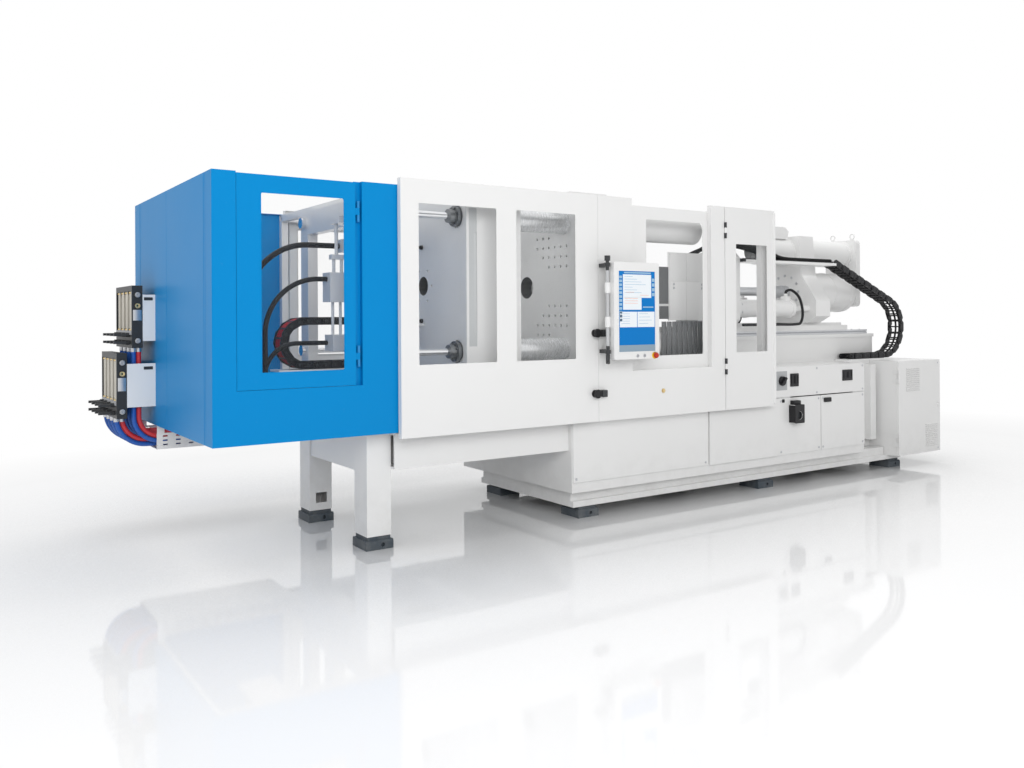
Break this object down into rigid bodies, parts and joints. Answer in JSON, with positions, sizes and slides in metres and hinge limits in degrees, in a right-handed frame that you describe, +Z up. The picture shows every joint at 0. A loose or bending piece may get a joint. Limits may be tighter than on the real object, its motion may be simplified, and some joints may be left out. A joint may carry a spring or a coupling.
{
  "type": "injection moulding machine",
  "caption": "Two-platen injection moulding machine with blue clamp guard, sliding operator gate, swivelling panel, injection unit, control cabinet and water manifolds",
  "frame": {"origin": "middle of the footprint, on the floor", "axes": "+X from the clamp end to the injection end, +Y away from the operator, +Z up"},
  "size_m": [7.117, 2.171, 2.275],
  "materials": {
    "white_paint": "satin white enamel",
    "blue_paint": "satin blue enamel",
    "dark_paint": "dark grey enamel",
    "grey_paint": "light grey enamel",
    "machined_steel": "machined steel",
    "cast_platen": "machined casting",
    "chrome_rod": "hard chrome",
    "black_plastic": "black moulded plastic",
    "dark_plastic": "dark moulded plastic",
    "clear_pane": "clear sheet",
    "hose_rubber": "black hose",
    "blue_hose": "blue and red water hoses",
    "screen_glass": "lit display",
    "red_plastic": "red cap",
    "grey_plastic": "grey cap"
  },
  "bodies": {
    "frame": {"main_base": "white_paint", "base_panels": "white_paint", "levelling_feet": "dark_paint", "end_portal": "white_paint", "clamp_bed": "white_paint", "fixed_platen": "cast_platen", "robot_plate": "white_paint", "lock_housings": "white_paint", "piston_rods": "chrome_rod", "clamp_guard": "blue_paint", "guard_frame": "white_paint", "fixed_guards": "white_paint", "guard_hardware": "dark_paint", "panel_post": "dark_paint", "injection_bed": "white_paint", "bed_rails": "machined_steel", "pump_unit": "blue_paint", "cabinet_body": "white_paint", "water_manifolds": "dark_plastic", "manifold_brackets": "white_paint", "water_hoses": "blue_hose", "valve_block": "white_paint", "clamp_hoses": "hose_rubber", "clamp_chain": "black_plastic", "injection_chain": "black_plastic"},
    "platen": {"moving_platen": "cast_platen", "tie_bars": "chrome_rod", "rod_glands": "machined_steel", "ejector_cylinder": "dark_paint"},
    "ejector": {"ejector_plate": "machined_steel"},
    "jaws_near": {"lock_jaws_near": "machined_steel"},
    "jaws_far": {"lock_jaws_far": "machined_steel"},
    "gate": {"gate_frame": "white_paint", "gate_panes": "clear_pane", "gate_knobs": "black_plastic"},
    "rear_gate": {"rear_gate_frame": "white_paint", "rear_gate_panes": "clear_pane"},
    "nozzle_gate": {"nozzle_guard": "white_paint", "nozzle_guard_pane": "clear_pane"},
    "injection_door": {"side_door": "white_paint", "side_door_pane": "clear_pane"},
    "clamp_door": {"service_door": "blue_paint", "service_door_pane": "clear_pane"},
    "panel": {"panel_housing": "white_paint", "panel_screen": "screen_glass"},
    "stop": {"stop_button": "red_plastic"},
    "reset": {"reset_button": "grey_plastic"},
    "start": {"start_button": "grey_plastic"},
    "carriage": {"carriage_frame": "white_paint", "barrel": "grey_paint", "barrel_cover": "grey_paint", "feed_block": "machined_steel", "hydraulic_cylinders": "white_paint", "carriage_hoses": "hose_rubber"},
    "injection": {"thrust_block": "white_paint", "screw_motor": "white_paint", "gear_case": "white_paint"},
    "plasticizing_screw": {"screw": "machined_steel"},
    "switch": {"main_switch": "black_plastic"},
    "cabinet_leaf": {"cabinet_door": "white_paint"}
  },
  "joints": [
    {"name": "platen_slide", "type": "slide", "parent": "frame", "child": "platen", "axis": [1, 0, 0], "range_m": [-0.5, 0.12], "deforming": ["clamp_chain"]},
    {"name": "ejector_slide", "type": "slide", "parent": "platen", "child": "ejector", "axis": [1, 0, 0], "range_m": [0, 0.1]},
    {"name": "near_jaw_slide", "type": "slide", "parent": "frame", "child": "jaws_near", "axis": [0, 1, 0], "range_m": [0, 0.014]},
    {"name": "far_jaw_slide", "type": "slide", "parent": "frame", "child": "jaws_far", "axis": [0, -1, 0], "range_m": [0, 0.014]},
    {"name": "gate_slide", "type": "slide", "parent": "frame", "child": "gate", "axis": [1, 0, 0], "range_m": [-1, 0]},
    {"name": "rear_gate_slide", "type": "slide", "parent": "frame", "child": "rear_gate", "axis": [1, 0, 0], "range_m": [-1, 0]},
    {"name": "nozzle_guard_slide", "type": "slide", "parent": "frame", "child": "nozzle_gate", "axis": [1, 0, 0], "range_m": [0, 0.6]},
    {"name": "side_door_hinge", "type": "hinge", "parent": "frame", "child": "injection_door", "pos_m": [0.6105, -0.9125, 1.5], "axis": [0, 0, -1], "range_deg": [0, 110]},
    {"name": "service_door_hinge", "type": "hinge", "parent": "frame", "child": "clamp_door", "pos_m": [-2.3845, -0.8435, 1.6], "axis": [0, 0, 1], "range_deg": [0, 100]},
    {"name": "panel_swivel", "type": "hinge", "parent": "frame", "child": "panel", "pos_m": [-0.6505, -1.0185, 1.44], "axis": [0, 0, -1], "range_deg": [0, 80]},
    {"name": "stop_press", "type": "slide", "parent": "panel", "child": "stop", "axis": [0, 1, 0], "range_m": [0, 0.005], "stiffness_N_per_m": 900},
    {"name": "reset_press", "type": "slide", "parent": "panel", "child": "reset", "axis": [0, 1, 0], "range_m": [0, 0.004], "stiffness_N_per_m": 500},
    {"name": "start_press", "type": "slide", "parent": "panel", "child": "start", "axis": [0, 1, 0], "range_m": [0, 0.004], "stiffness_N_per_m": 500},
    {"name": "carriage_slide", "type": "slide", "parent": "frame", "child": "carriage", "axis": [1, 0, 0], "range_m": [-0.3, 0.15], "deforming": ["injection_chain"]},
    {"name": "injection_slide", "type": "slide", "parent": "carriage", "child": "injection", "axis": [1, 0, 0], "range_m": [-0.15, 0.1]},
    {"name": "screw_turn", "type": "hinge", "parent": "injection", "child": "plasticizing_screw", "pos_m": [1.6715, -0.1535, 1.62], "axis": [1, 0, 0], "continuous": true},
    {"name": "switch_turn", "type": "hinge", "parent": "frame", "child": "switch", "pos_m": [1.3715, -0.8135, 0.867], "axis": [0, 1, 0], "range_deg": [0, 90]},
    {"name": "cabinet_hinge", "type": "hinge", "parent": "frame", "child": "cabinet_leaf", "pos_m": [2.8895, -0.8775, 0.55], "axis": [0, 0, -1], "range_deg": [0, 120]}
  ],
  "couplings": [
    {"joint": "far_jaw_slide", "follows": "near_jaw_slide", "ratio": 1}
  ]
}
